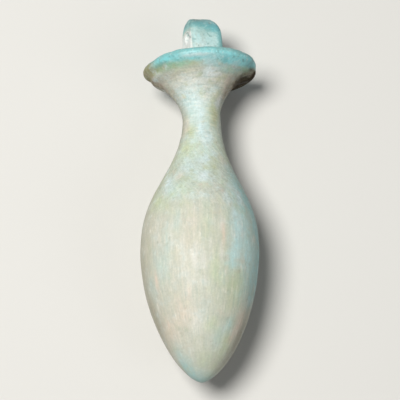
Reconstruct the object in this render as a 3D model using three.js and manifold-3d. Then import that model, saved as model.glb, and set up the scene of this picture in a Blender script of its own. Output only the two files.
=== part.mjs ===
// Plummet amulet: a bob-shaped pendant of glazed faience, one solid, lying on its side.
// A pointed bob swells to a belly, draws in to a neck, flares out to a thick round flange,
// and carries a pierced suspension loop on top of the flange.
// Millimetres, +Z up. The long axis lies along Y, with the loop at the +Y end.
import * as THREE from "three";
import { mergeVertices } from "three/addons/utils/BufferGeometryUtils.js";
import Module from "manifold-3d";

// ---- bob, neck and flange: radii, and distances from the point of the bob ----
const BELLY_R = 8.12; // largest radius of the bob
const BELLY_S = 18.2; // where the belly is
const TIP_POWER = 1.84; // bluntness of the point
const TIP_ROUND = 0.643;
const NECK_R = 2.64; // slimmest radius
const NECK_S = 36.8; // where the neck is
const SHOULDER_IN = 1.587; // how the shoulder swells out of the neck
const SHOULDER_OUT = 1.929;
const SHOULDER_BIAS = 1.084;
const RIM_R = 7.937; // outer radius of the flange
const RIM_S = 44.394; // where its round rim is widest
const ROLL_IN = 1.469; // the rim is a roll this far across, half way
const ROLL_UP = 0.873; // and this high, half way
const UNDER_DEG = 56.96; // slope at which the flare runs into the roll
const TOP_DOME = 0.05; // the top face swells a little towards the loop

// ---- hand-made irregularity ----
const FLARE_LEFT = 0.076; // the flare is a little fuller on its left, under the rim
const FLARE_LEFT_S = 42.76;
const FLARE_LEFT_WIDE = 0.52;
const FLARE_SHIFT = 0.18; // and stands a little to the left of the axis
// At the back right the flange is left thick: its underside reaches down this far below
// the widest place of the rim. Angles run from the right side over the front.
const THICK_DEEP = 2.15;
const THICK_SQUARE = 6.2;
const THICK_FRONT_DEG = -6; // full up to here, gone after the next angle
const THICK_FADE_DEG = 28;
const THICK_BACK_DEG = -95;
const THICK_RISE_DEG = 35;
// The rim is worn flatter over three stretches: where, from the right side over the
// front, how wide, and how deep as a share of the radius.
const RIM_WORN = [
  { at: 148, over: 15, deep: 0.035 },
  { at: -154, over: 13, deep: 0.05 },
  { at: -31, over: 12, deep: 0.026 },
];
const LEAN_DEG = 4.5; // the flange leans to the left
const LEAN_FROM = 36.0; // over this stretch of the axis
const LEAN_TO = 44.5;
const NECK_SHIFT = 0.27; // neck off the axis of the bob, to the right
const TIP_SHIFT = 0.25; // and the point too

// ---- suspension loop ----
const LOOP_S = 44.95; // its heights count from here on the axis
const LOOP_H = 6.75; // height over the flange
const LOOP_W = 4.98; // between its two flat sides, over the flange
const LOOP_D = 4.25; // front to back
const LOOP_ARCH_H = 3.9; // where the arch of its top begins
const ARCH_RIGHT = 0.44; // how far the arch draws in, as a share of the half width
const ARCH_LEFT = 0.34;
const ARCH_DEEP = 0.74;
const LOOP_TURN_DEG = 19; // turned about its own axis, left side towards the front
const LOOP_LEAN_DEG = 5.0; // it leans a little more than the flange
const LOOP_SHIFT = 0.75; // off the middle of the flange, to the right
const LOOP_DRAFT_DEG = 3.8; // the flat sides draw in towards the top
const LOOP_PROUD = 0.16; // stock beyond the flat sides, cut off flat
const LOOP_FOOT = 0.45; // size of the fillet at its foot
const LOOP_SQUARE = 5.0; // squareness of its section
const HOLE_R = 0.75; // perforation, side to side
const HOLE_H = 3.95; // its height over the flange
const HOLE_FRONT = 0.35; // and how far to the front of the loop's middle

// ---- how it lies ----
const FLAT_CUT = 0.13; // depth of the small flat spots it rests on
const SEGMENTS = 56;

const rad = THREE.MathUtils.degToRad;

// Where the flare runs into the roll of the rim, so that both have one slope there.
const UNDER_AT = Math.atan((Math.tan(rad(UNDER_DEG)) * ROLL_UP) / ROLL_IN);
const FLARE_R = RIM_R - ROLL_IN + ROLL_IN * Math.cos(UNDER_AT);
const FLARE_S = RIM_S - ROLL_UP * Math.sin(UNDER_AT);
const FLARE_POWER =
  (Math.tan(rad(UNDER_DEG)) * (FLARE_S - NECK_S)) / (FLARE_R - NECK_R);
const TOP_S = RIM_S + ROLL_UP; // where the roll meets the top face

const step01 = (t) => THREE.MathUtils.smoothstep(t, 0, 1);

// Radius of the bob and neck at distance s from the point.
function bobRadius(s) {
  if (s <= BELLY_S)
    return (
      BELLY_R *
      Math.pow(1 - Math.pow(1 - s / BELLY_S, TIP_POWER), TIP_ROUND)
    );
  if (s <= NECK_S) {
    const v = (NECK_S - s) / (NECK_S - BELLY_S);
    const swell = Math.pow(v, SHOULDER_IN);
    const rest = SHOULDER_BIAS * Math.pow(1 - v, SHOULDER_OUT);
    return NECK_R + ((BELLY_R - NECK_R) * swell) / (swell + rest);
  }
  const t = (s - NECK_S) / (FLARE_S - NECK_S);
  return NECK_R + (FLARE_R - NECK_R) * Math.pow(t, FLARE_POWER);
}

// The whole profile, from the point to the middle of the top face.
function profile() {
  const points = [new THREE.Vector2(0, 0)];
  const put = (r, s) => points.push(new THREE.Vector2(r, s));
  const tipRings = 17,
    shoulderRings = 16,
    flareRings = 13,
    rimRings = 9,
    topRings = 4;
  for (let i = 1; i <= tipRings; i++) {
    const s = BELLY_S * (1 - Math.cos((Math.PI / 2) * (i / tipRings)));
    put(bobRadius(s), s);
  }
  for (let i = 1; i <= shoulderRings; i++) {
    const s = BELLY_S + (NECK_S - BELLY_S) * (i / shoulderRings);
    put(bobRadius(s), s);
  }
  for (let i = 1; i <= flareRings; i++) {
    // rings crowd towards the rim
    const t = 1 - Math.pow(1 - i / flareRings, 1.3);
    const s = NECK_S + (FLARE_S - NECK_S) * t;
    put(bobRadius(s), s);
  }
  for (let i = 1; i <= rimRings; i++) {
    const a = -UNDER_AT + ((Math.PI / 2 + UNDER_AT) * i) / rimRings;
    put(
      RIM_R - ROLL_IN + ROLL_IN * Math.cos(a),
      RIM_S + ROLL_UP * Math.sin(a),
    );
  }
  const edge = points[points.length - 1].x;
  for (let i = 1; i < topRings; i++) {
    const w = i / topRings;
    put(edge * (1 - w), TOP_S + TOP_DOME * (1 - (1 - w) ** 2));
  }
  put(0, TOP_S + TOP_DOME);
  return points;
}

const leanAt = (s) =>
  rad(LEAN_DEG) * step01((s - LEAN_FROM) / (LEAN_TO - LEAN_FROM));

// The middle of the section at distance s, following the lean of the flange.
function axisAt(s) {
  const n = 240;
  let x = 0,
    y = 0;
  for (let i = 0; i < n; i++) {
    const a = leanAt((s * (i + 0.5)) / n);
    x -= (Math.sin(a) * s) / n;
    y += (Math.cos(a) * s) / n;
  }
  x += TIP_SHIFT * (1 - step01(s / 16)) + NECK_SHIFT * step01((s - 24) / 13);
  x -= FLARE_SHIFT * step01((s - 36.3) / 2.6) * (1 - step01((s - 41.3) / 2.4));
  return new THREE.Vector2(x, y);
}

// How much of the thick stretch of the flange there is at an angle round the axis.
const thickAt = (around) =>
  (1 - step01((around - rad(THICK_FRONT_DEG)) / rad(THICK_FADE_DEG))) *
  step01((around - rad(THICK_BACK_DEG)) / rad(THICK_RISE_DEG));

// Bends a straight turned form (axis +Y) to the hand-made axis.
function bend(geometry) {
  const p = geometry.getAttribute("position");
  const seen = new Map();
  for (let i = 0; i < p.count; i++) {
    const s = p.getY(i);
    const key = s.toFixed(5);
    if (!seen.has(key)) seen.set(key, [axisAt(s), leanAt(s)]);
    const [c, a] = seen.get(key);
    const around = Math.atan2(p.getZ(i), p.getX(i));
    const left = Math.max(0, -Math.cos(around)) ** 2;
    let k =
      1 +
      FLARE_LEFT *
        left *
        Math.exp(-(((s - FLARE_LEFT_S) / FLARE_LEFT_WIDE) ** 2));
    for (const { at, over, deep } of RIM_WORN) {
      const off = (around - rad(at)) / rad(over);
      k -= deep * Math.exp(-off * off) * step01((s - 42.9) / 0.9);
    }
    const r = Math.hypot(p.getX(i), p.getZ(i));
    if (s < RIM_S && s > RIM_S - THICK_DEEP && r > 0) {
      const u = (RIM_S - s) / THICK_DEEP;
      const full = RIM_R - (RIM_R - NECK_R) * u ** THICK_SQUARE;
      k += (thickAt(around) * Math.max(0, full - r * k)) / r;
    }
    const x = p.getX(i) * k;
    p.setXYZ(i, c.x + x * Math.cos(a), c.y + x * Math.sin(a), p.getZ(i) * k);
  }
  return geometry;
}

const wasm = await Module();
wasm.setup();

// A closed three.js geometry as a solid that can be joined and cut.
function solid(geometry) {
  const g = geometry.clone();
  g.deleteAttribute("normal");
  g.deleteAttribute("uv");
  const merged = mergeVertices(g, 1e-4);
  return new wasm.Manifold(
    new wasm.Mesh({
      numProp: 3,
      vertProperties: merged.getAttribute("position").array,
      triVerts: new Uint32Array(merged.index.array),
    }),
  );
}

function geometryOf(made) {
  const m = made.getMesh();
  const v = new Float32Array(m.numVert * 3);
  for (let i = 0; i < m.numVert; i++)
    v.set(m.vertProperties.subarray(i * m.numProp, i * m.numProp + 3), i * 3);
  const g = new THREE.BufferGeometry();
  g.setAttribute("position", new THREE.BufferAttribute(v, 3));
  g.setIndex(new THREE.BufferAttribute(new Uint32Array(m.triVerts), 1));
  return g;
}

// The loop's own frame: X through the perforation, Y up, Z to the front.
const loopFrame = (() => {
  const a = rad(LOOP_LEAN_DEG);
  const foot = axisAt(LOOP_S);
  return new THREE.Matrix4()
    .makeTranslation(
      foot.x + LOOP_SHIFT * Math.cos(a),
      foot.y + LOOP_SHIFT * Math.sin(a),
      0,
    )
    .multiply(new THREE.Matrix4().makeRotationZ(a))
    .multiply(new THREE.Matrix4().makeRotationY(rad(LOOP_TURN_DEG)));
})();

function loopStock() {
  const sides = 48,
    levels = 22,
    below = 0.9;
  const g = new THREE.CylinderGeometry(1, 1, 1, sides, levels, false);
  const p = g.getAttribute("position");
  for (let i = 0; i < p.count; i++) {
    const k = p.getY(i) + 0.5;
    // levels crowd towards the arch
    const h = -below + (LOOP_H + below) * Math.sin((Math.PI / 2) * k);
    const arch = THREE.MathUtils.clamp(
      (h - LOOP_ARCH_H) / (LOOP_H - LOOP_ARCH_H),
      0,
      1,
    );
    const right = (LOOP_W / 2 + LOOP_PROUD) * (1 - ARCH_RIGHT * arch ** 1.9);
    const left = (LOOP_W / 2 + LOOP_PROUD) * (1 - ARCH_LEFT * arch ** 2.3);
    const deep = (LOOP_D / 2) * (1 - ARCH_DEEP * arch ** 2.5);
    const above = h - (TOP_S - LOOP_S);
    const foot = LOOP_FOOT * Math.max(0, 1 - Math.max(above, 0) / 0.8) ** 2;
    const angle = Math.atan2(p.getZ(i), p.getX(i));
    const reach = Math.hypot(p.getX(i), p.getZ(i));
    const c = Math.cos(angle),
      s = Math.sin(angle);
    const rho = Math.pow(
      Math.abs(c) ** LOOP_SQUARE + Math.abs(s) ** LOOP_SQUARE,
      -1 / LOOP_SQUARE,
    );
    p.setXYZ(
      i,
      reach * (rho * c * (c > 0 ? right : left) + foot * c),
      h,
      reach * (rho * s * deep + foot * s),
    );
  }
  return g;
}

function loop() {
  let made = solid(loopStock());
  for (const side of [-1, 1]) {
    const block = new THREE.BoxGeometry(4, LOOP_H + 2, 12)
      .translate(side * 2, (LOOP_H + 2) / 2, 0)
      .rotateZ(side * rad(LOOP_DRAFT_DEG))
      .translate((side * LOOP_W) / 2, 1.2, 0);
    made = made.subtract(solid(block));
  }
  const hole = new THREE.CylinderGeometry(HOLE_R, HOLE_R, 12, 28)
    .rotateZ(Math.PI / 2)
    .translate(0, HOLE_H, HOLE_FRONT);
  made = made.subtract(solid(hole));
  return geometryOf(made).applyMatrix4(loopFrame);
}

// Bob and loop as one solid, upright.
const bob = bend(new THREE.LatheGeometry(profile(), SEGMENTS));
const upright = solid(bob).add(solid(loop()));

// Laid down on belly and rim: the plane that touches both, then raised a little to leave
// two flat spots.
const restTilt = Math.atan((BELLY_R - RIM_R) / (RIM_S - BELLY_S));
const lying = geometryOf(upright).rotateX(-restTilt);
lying.computeBoundingBox();
const box = lying.boundingBox;
const floorZ = box.min.z + FLAT_CUT;
const shift = new THREE.Vector3(
  -0.5 * (box.min.x + box.max.x),
  -0.5 * (box.min.y + box.max.y),
  -floorZ,
);
lying.translate(shift.x, shift.y, shift.z);
const under = new THREE.BoxGeometry(60, 80, 10).translate(0, 0, -5);
const amulet = geometryOf(solid(lying).subtract(solid(under)));
amulet.computeVertexNormals();

const faience = new THREE.MeshStandardMaterial({
  name: "faience",
  color: new THREE.Color().setRGB(0.62, 0.72, 0.64),
  roughness: 0.5,
  metalness: 0,
});

const mesh = new THREE.Mesh(amulet, faience);
mesh.name = "plummet_amulet";
const part = new THREE.Group();
part.add(mesh);

export default part;
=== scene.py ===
# Plummet amulet: a bob-shaped pendant of glazed faience, lying on its side on a pale floor.
# Sizes in this file are millimetres until the finished mesh is written, in metres.
import math

import bpy
import numpy as np
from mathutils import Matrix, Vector


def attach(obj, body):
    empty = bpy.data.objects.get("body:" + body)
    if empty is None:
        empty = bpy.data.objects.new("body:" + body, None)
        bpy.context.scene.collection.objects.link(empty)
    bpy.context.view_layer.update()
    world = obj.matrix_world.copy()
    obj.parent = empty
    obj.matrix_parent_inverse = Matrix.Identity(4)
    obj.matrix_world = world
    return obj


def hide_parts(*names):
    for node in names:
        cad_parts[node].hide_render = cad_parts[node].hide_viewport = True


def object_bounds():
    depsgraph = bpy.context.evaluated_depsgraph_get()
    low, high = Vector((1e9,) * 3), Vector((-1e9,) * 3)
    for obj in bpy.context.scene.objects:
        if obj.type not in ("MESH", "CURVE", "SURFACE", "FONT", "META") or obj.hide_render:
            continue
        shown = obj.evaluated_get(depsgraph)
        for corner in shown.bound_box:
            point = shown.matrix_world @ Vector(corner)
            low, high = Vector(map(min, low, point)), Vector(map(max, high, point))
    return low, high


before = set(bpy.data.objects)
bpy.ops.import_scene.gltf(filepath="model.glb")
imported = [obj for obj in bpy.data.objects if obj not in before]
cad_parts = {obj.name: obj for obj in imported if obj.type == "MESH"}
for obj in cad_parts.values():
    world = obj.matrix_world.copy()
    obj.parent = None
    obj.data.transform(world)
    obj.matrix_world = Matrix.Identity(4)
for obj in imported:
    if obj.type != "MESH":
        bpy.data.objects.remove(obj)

cad_lo, cad_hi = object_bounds()
NODE = "plummet_amulet"

# ------------------------------------------------------------------ sizes of the object
BELLY_R, BELLY_S = 8.12, 18.2
TIP_POWER, TIP_ROUND = 1.84, 0.643
NECK_R, NECK_S = 2.64, 36.8
SHOULDER_IN, SHOULDER_OUT, SHOULDER_BIAS = 1.587, 1.929, 1.084
RIM_R, RIM_S, ROLL_IN, ROLL_UP = 7.937, 44.394, 1.469, 0.873
UNDER, TOP_DOME = math.radians(56.96), 0.05
FLARE_LEFT, FLARE_LEFT_S, FLARE_LEFT_WIDE, FLARE_SHIFT = 0.076, 42.76, 0.52, 0.18
THICK_DEEP, THICK_SQUARE = 2.15, 6.2
THICK_FRONT, THICK_FADE, THICK_BACK, THICK_RISE = (math.radians(a) for a in (-6, 28, -95, 35))
RIM_WORN = [(148, 15, 0.035), (-154, 13, 0.05), (-31, 12, 0.026)]
LEAN, LEAN_FROM, LEAN_TO = math.radians(4.5), 36.0, 44.5
NECK_SHIFT, TIP_SHIFT = 0.27, 0.25
LOOP_S, LOOP_H, LOOP_W, LOOP_D = 44.95, 6.75, 4.98, 4.25
LOOP_DRAFT, LOOP_ARCH_H = math.radians(3.8), 3.9
ARCH_RIGHT, ARCH_LEFT, ARCH_DEEP = 0.44, 0.34, 0.74
LOOP_TURN, LOOP_LEAN = math.radians(19), math.radians(5)
LOOP_SHIFT, LOOP_PROUD, LOOP_SQUARE = 0.75, 0.16, 5.0
HOLE_R, HOLE_H, HOLE_FRONT = 0.75, 3.95, 0.35
FILLET_OUT, FILLET_UP = 0.62, 0.85

# where the flare runs into the roll of the rim
UNDER_AT = math.atan(math.tan(UNDER) * ROLL_UP / ROLL_IN)
FLARE_R = RIM_R - ROLL_IN + ROLL_IN * math.cos(UNDER_AT)
FLARE_S = RIM_S - ROLL_UP * math.sin(UNDER_AT)
FLARE_POWER = math.tan(UNDER) * (FLARE_S - NECK_S) / (FLARE_R - NECK_R)
TOP_S, R0 = RIM_S + ROLL_UP, RIM_R - ROLL_IN


# ------------------------------------------------------------------ small tools
def step01(t):
    t = np.clip(t, 0, 1)
    return t * t * (3 - 2 * t)


def bump01(x, a, b, c, d):
    """0 up to a, rising to 1 at b, 1 up to c, falling to 0 at d."""
    return step01((x - a) / (b - a)) * (1 - step01((x - c) / (d - c)))


def lattice(ix, iy, iz, seed):
    h = (
        ix * 374761393 + iy * 668265263 + iz * 1440662683 + seed * 1274126177
    ) & 0xFFFFFFFF
    h = ((h ^ (h >> 13)) * 1274126177) & 0xFFFFFFFF
    h = ((h ^ (h >> 16)) * 2246822519) & 0xFFFFFFFF
    return ((h ^ (h >> 15)) & 0xFFFFFF) / float(0xFFFFFF) * 2 - 1


def noise(p, seed=0):
    """Smooth value noise of points (n, 3), about -1 to 1, one unit from one value to the next."""
    p = np.asarray(p, float)
    f = np.floor(p)
    i = f.astype(np.int64)
    t = p - f
    t = t * t * t * (t * (t * 6 - 15) + 10)
    out = 0
    for dx in (0, 1):
        for dy in (0, 1):
            for dz in (0, 1):
                w = (
                    (t[:, 0] if dx else 1 - t[:, 0])
                    * (t[:, 1] if dy else 1 - t[:, 1])
                    * (t[:, 2] if dz else 1 - t[:, 2])
                )
                out = out + w * lattice(i[:, 0] + dx, i[:, 1] + dy, i[:, 2] + dz, seed)
    return out


def fbm(p, seed=0, octaves=3, fall=0.5):
    out, size, total = 0, 1.0, 0.0
    q = np.asarray(p, float)
    for k in range(octaves):
        out = out + size * noise(q * 2.03**k + 17.3 * k, seed + k)
        total += size
        size *= fall
    return out / total


# ------------------------------------------------------------------ the turned form
def bob_radius(s):
    s = np.asarray(s, float)
    r = np.zeros_like(s)
    a = s <= BELLY_S
    r[a] = BELLY_R * (1 - (1 - np.clip(s[a], 0, None) / BELLY_S) ** TIP_POWER) ** TIP_ROUND
    b = (s > BELLY_S) & (s <= NECK_S)
    v = (NECK_S - s[b]) / (NECK_S - BELLY_S)
    swell, rest = v**SHOULDER_IN, SHOULDER_BIAS * (1 - v) ** SHOULDER_OUT
    r[b] = NECK_R + (BELLY_R - NECK_R) * swell / (swell + rest)
    c = s > NECK_S
    t = np.clip((s[c] - NECK_S) / (FLARE_S - NECK_S), 0, 1)
    r[c] = NECK_R + (FLARE_R - NECK_R) * t**FLARE_POWER
    return r


def lean_at(s):
    return LEAN * step01((s - LEAN_FROM) / (LEAN_TO - LEAN_FROM))


_S = np.linspace(0, 60, 6001)
_A = lean_at(_S)
_half = 0.5 * (_A[1:] + _A[:-1])
_X = np.concatenate([[0], np.cumsum(-np.sin(_half) * np.diff(_S))])
_Y = np.concatenate([[0], np.cumsum(np.cos(_half) * np.diff(_S))])
_X = (
    _X
    + TIP_SHIFT * (1 - step01(_S / 16))
    + NECK_SHIFT * step01((_S - 24) / 13)
    - FLARE_SHIFT * step01((_S - 36.3) / 2.6) * (1 - step01((_S - 41.3) / 2.4))
)


def axis_at(s):
    return np.interp(s, _S, _X), np.interp(s, _S, _Y)


def wrap(a):
    return (a + np.pi) % (2 * np.pi) - np.pi


def share(r, s, th):
    """The radius at an angle, as a share of the turned one."""
    th = wrap(th)
    left = np.maximum(0, -np.cos(th)) ** 2
    k = 1 + FLARE_LEFT * left * np.exp(-(((s - FLARE_LEFT_S) / FLARE_LEFT_WIDE) ** 2))
    for at, over, deep in RIM_WORN:
        off = wrap(th - math.radians(at)) / math.radians(over)
        k = k - deep * np.exp(-off * off) * step01((s - 42.9) / 0.9)
    thick = (1 - step01((th - THICK_FRONT) / THICK_FADE)) * step01(
        (th - THICK_BACK) / THICK_RISE
    )
    u = np.clip((RIM_S - s) / THICK_DEEP, 0, 1)
    full = RIM_R - (RIM_R - NECK_R) * u**THICK_SQUARE
    fill = thick * np.maximum(0, full - r * k) * (s < RIM_S) * (s > RIM_S - THICK_DEEP)
    return k + fill / np.maximum(r, 1e-6)


def body_point(r, s, th):
    cx, cy = axis_at(s)
    a = lean_at(s)
    k = share(r, s, th)
    x = r * np.cos(th) * k
    return np.stack([cx + x * np.cos(a), cy + x * np.sin(a), r * np.sin(th) * k], 1)


# ------------------------------------------------------------------ the loop's own frame
_tilt = LOOP_LEAN
_fx, _fy = axis_at(LOOP_S)
FOOT = np.array([_fx + LOOP_SHIFT * math.cos(_tilt), _fy + LOOP_SHIFT * math.sin(_tilt), 0])
DISC_X = np.array([math.cos(_tilt), math.sin(_tilt), 0])
UP = np.array([-math.sin(_tilt), math.cos(_tilt), 0])
FRONT = np.array([0, 0, 1.0])
LOOP_X = DISC_X * math.cos(LOOP_TURN) - FRONT * math.sin(LOOP_TURN)
LOOP_Z = DISC_X * math.sin(LOOP_TURN) + FRONT * math.cos(LOOP_TURN)


def from_loop(x, h, z):
    return FOOT + np.outer(x, LOOP_X) + np.outer(h, UP) + np.outer(z, LOOP_Z)


def to_loop(p):
    q = p - FOOT
    return q @ LOOP_X, q @ UP, q @ LOOP_Z


def soft_min(a, b, k):
    g = np.clip(k - np.abs(a - b), 0, None) / k
    return np.minimum(a, b) - g * g * k / 4


def loop_outline(al, h):
    """Outline of the loop at height h, as its own x and z, for directions al."""
    arch = np.clip((h - LOOP_ARCH_H) / (LOOP_H - LOOP_ARCH_H), 0, 1)
    right = (LOOP_W / 2 + LOOP_PROUD) * (1 - ARCH_RIGHT * arch**1.9)
    left = (LOOP_W / 2 + LOOP_PROUD) * (1 - ARCH_LEFT * arch**2.3)
    deep = (LOOP_D / 2) * (1 - ARCH_DEEP * arch**2.5)
    c, s = np.cos(al), np.sin(al)
    rho = (np.abs(c) ** LOOP_SQUARE + np.abs(s) ** LOOP_SQUARE) ** (-1 / LOOP_SQUARE)
    x = rho * c * np.where(c > 0, right, left)
    z = rho * s * deep
    flat = LOOP_W / 2 - (h - 1.2) * math.tan(LOOP_DRAFT)
    x = np.sign(x) * soft_min(np.abs(x), flat, 0.09)
    return x, z


# ------------------------------------------------------------------ rings, from the point to the top of the loop
rings = []  # each: angles, points, distance along, kind


def ring_angles(n):
    return np.arange(n) * 2 * np.pi / n


def add_body_ring(r, s, n):
    th = ring_angles(n)
    rings.append((th, body_point(np.full(n, r), np.full(n, s), th), np.full(n, s), 0))


N = 320
tip_rings = 96
for i in range(1, tip_rings + 1):
    s = BELLY_S * (1 - math.cos(math.pi / 2 * i / tip_rings))
    n = 40 if i < 4 else 80 if i < 9 else 160 if i < 20 else N
    add_body_ring(float(bob_radius(np.array([s]))[0]), s, n)
for i in range(1, 76):
    s = BELLY_S + (NECK_S - BELLY_S) * i / 75
    add_body_ring(float(bob_radius(np.array([s]))[0]), s, N)
for i in range(1, 59):
    s = NECK_S + (FLARE_S - NECK_S) * (1 - (1 - i / 58) ** 1.3)
    add_body_ring(float(bob_radius(np.array([s]))[0]), s, N)
for i in range(1, 25):
    a = -UNDER_AT + (math.pi / 2 + UNDER_AT) * i / 24
    add_body_ring(R0 + ROLL_IN * math.cos(a), RIM_S + ROLL_UP * math.sin(a), N)

# the top face, from the rim's roll in to the foot of the loop
n = N // 2
th = ring_angles(n)
outer = body_point(np.full(n, R0), np.full(n, TOP_S), th)
al = th + LOOP_TURN
foot_x, foot_z = loop_outline(al, np.full(n, 1.2))
wide_x, wide_z = foot_x + FILLET_OUT * np.cos(al), foot_z + FILLET_OUT * np.sin(al)
top_h = TOP_S - LOOP_S + TOP_DOME * (1 - (wide_x**2 + wide_z**2) / R0**2)
inner = from_loop(wide_x, top_h, wide_z)
for i in range(1, 19):
    w = i / 18
    rings.append((th, outer + (inner - outer) * w, np.full(n, TOP_S), 1))
for i in range(1, 11):
    q = i / 10 * math.pi / 2
    off, up = FILLET_OUT * (1 - math.sin(q)), FILLET_UP * (1 - math.cos(q))
    h = top_h + up
    lx, lz = loop_outline(al, h)
    lx, lz = lx + off * np.cos(al), lz + off * np.sin(al)
    rings.append((th, from_loop(lx, h, lz), LOOP_S + h, 2))
start = top_h + FILLET_UP
levels = 46
for i in range(1, levels + 1):
    q = math.sin(math.pi / 2 * i / levels) * 0.75 + 0.25 * i / levels
    h = start + (LOOP_H - start) * q
    lx, lz = loop_outline(al, h)
    rings.append((th, from_loop(lx, h, lz), LOOP_S + h, 3))
cap = [(160, 0.95), (160, 0.86), (160, 0.72), (80, 0.55), (40, 0.34), (40, 0.15)]
for n, reach in cap:
    th_n = ring_angles(n)
    lx, lz = loop_outline(th_n + LOOP_TURN, np.full(n, LOOP_H))
    h = np.full(n, LOOP_H + 0.03 * (1 - reach**2))
    rings.append((th_n, from_loop(lx * reach, h, lz * reach), LOOP_S + h, 4))

tip_x, tip_y = axis_at(0.0)
points = [np.array([[tip_x, tip_y, 0.0]])]
along, around, kind = [np.zeros(1)], [np.zeros(1)], [np.zeros(1)]
first, offset = [], 1
for th_r, p_r, s_r, k_r in rings:
    first.append(offset)
    offset += len(th_r)
    points.append(p_r)
    along.append(s_r)
    around.append(th_r)
    kind.append(np.full(len(th_r), k_r))
points.append(from_loop(np.zeros(1), np.array([LOOP_H + 0.03]), np.zeros(1)))
along.append(np.array([LOOP_S + LOOP_H]))
around.append(np.zeros(1))
kind.append(np.full(1, 4))
P = np.concatenate(points)
S, TH, KIND = np.concatenate(along), np.concatenate(around), np.concatenate(kind)
last = len(P) - 1

faces = []
n0 = len(rings[0][0])
faces += [(0, first[0] + (j + 1) % n0, first[0] + j) for j in range(n0)]
for k in range(len(rings) - 1):
    a, b = first[k], first[k + 1]
    na, nb = len(rings[k][0]), len(rings[k + 1][0])
    if na == nb:
        faces += [(a + j, a + (j + 1) % na, b + (j + 1) % nb, b + j) for j in range(na)]
    elif nb == 2 * na:
        faces += [
            (a + j, a + (j + 1) % na, b + (2 * j + 2) % nb, b + 2 * j + 1, b + 2 * j)
            for j in range(na)
        ]
    else:
        faces += [
            (a + 2 * j, a + 2 * j + 1, a + (2 * j + 2) % na, b + (j + 1) % nb, b + j)
            for j in range(nb)
        ]
nl = len(rings[-1][0])
faces += [(first[-1] + j, first[-1] + (j + 1) % nl, last) for j in range(nl)]
faces = [f[::-1] for f in faces]


def mesh_of(name, verts, polys):
    me = bpy.data.meshes.new(name)
    me.from_pydata(np.asarray(verts).tolist(), [], [tuple(int(i) for i in f) for f in polys])
    me.validate()
    me.update()
    return me


def normals_of(me):
    out = np.zeros(len(me.vertices) * 3, np.float32)
    me.vertex_normals.foreach_get("vector", out)
    return out.reshape(-1, 3).astype(float)


def volume_of(me):
    co = np.zeros(len(me.vertices) * 3, np.float32)
    me.vertices.foreach_get("co", co)
    co = co.reshape(-1, 3).astype(float)
    me.calc_loop_triangles()
    tri = np.zeros(len(me.loop_triangles) * 3, np.int32)
    me.loop_triangles.foreach_get("vertices", tri)
    tri = tri.reshape(-1, 3)
    a, b, c = co[tri[:, 0]], co[tri[:, 1]], co[tri[:, 2]]
    return float(np.einsum("ij,ij->i", a, np.cross(b, c)).sum() / 6)


base = mesh_of("amulet_base", P, faces)
if volume_of(base) < 0:
    base.flip_normals()
    base.update()

# The loop's edges are rubbed soft.
edge = np.zeros(len(base.edges) * 2, np.int32)
base.edges.foreach_get("vertices", edge)
edge = edge.reshape(-1, 2)
soft = (KIND >= 2).astype(float)
count = np.bincount(edge.ravel(), minlength=len(P)).astype(float)
for _ in range(2):
    total = np.zeros_like(P)
    for c in range(3):
        total[:, c] = np.bincount(edge[:, 0], P[edge[:, 1], c], len(P)) + np.bincount(
            edge[:, 1], P[edge[:, 0], c], len(P)
        )
    P = P + (total / count[:, None] - P) * (0.45 * soft)[:, None]
base.vertices.foreach_set("co", P.astype(np.float32).ravel())
base.update()
normal = normals_of(base)

# ------------------------------------------------------------------ relief: hand shaping, wiping strokes, pits, worn edges
cos_t, sin_t = np.cos(TH), np.sin(TH)
on_body = KIND < 1
on_loop = KIND >= 2
radius = np.hypot(P[:, 0] - np.interp(S, _S, _X), P[:, 2])


def turn_of(s):
    """How far the wiping strokes have turned round the bob at s: upright below, slanting on the shoulder."""
    t = np.linspace(0, 60, 1201)
    slant = np.radians(42) * bump01(t, 20.5, 27.0, 33.0, 36.5)
    psi = np.concatenate([[0], np.cumsum(np.tan(slant[1:]) / 5.2 * np.diff(t))])
    return np.interp(s, t, psi)


TURN = turn_of(S)
upright = np.stack([cos_t * 8, sin_t * 8, S], 1)
slanted = np.stack([np.cos(TH - TURN) * 8, np.sin(TH - TURN) * 8, S], 1)
w_belly = (1 - step01((S - 21.0) / 7.0)) * (1 - 0.8 * step01((4.5 - S) / 4.0))
w_shoulder = bump01(S, 20.5, 26.0, 31.0, 36.5) * (0.45 + 0.55 * step01((cos_t + 0.35) / 0.7))
w_neck = bump01(S, 29.0, 34.0, 40.0, 43.0)

relief = np.zeros(len(P))
q = P / 5.5
relief += on_body * 0.050 * fbm(q + 3.1, 11, 2) * np.clip(radius / 5, 0.25, 1)
relief += on_body * 0.020 * fbm(P / 1.9 + 9.7, 23, 2) * np.clip(radius / 4, 0.35, 1)
relief += on_body * w_belly * (
    0.013 * noise(upright * [1.05, 1.05, 0.10], 31)
    + 0.010 * noise(upright * [2.1, 2.1, 0.2], 32)
    + 0.005 * noise(upright * [3.6, 3.6, 0.5], 33)
)
relief += on_body * w_shoulder * (
    0.010 * noise(slanted * [1.2, 1.2, 0.26], 41)
    + 0.008 * noise(slanted * [2.6, 2.6, 0.45], 42)
)
relief += on_body * w_neck * (
    0.014 * noise(np.stack([cos_t * 1.3, sin_t * 1.3, S * 1.7], 1), 51)
    + 0.012 * noise(np.stack([cos_t * 1.9, sin_t * 1.9, S * 3.6], 1), 52)
)

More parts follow.
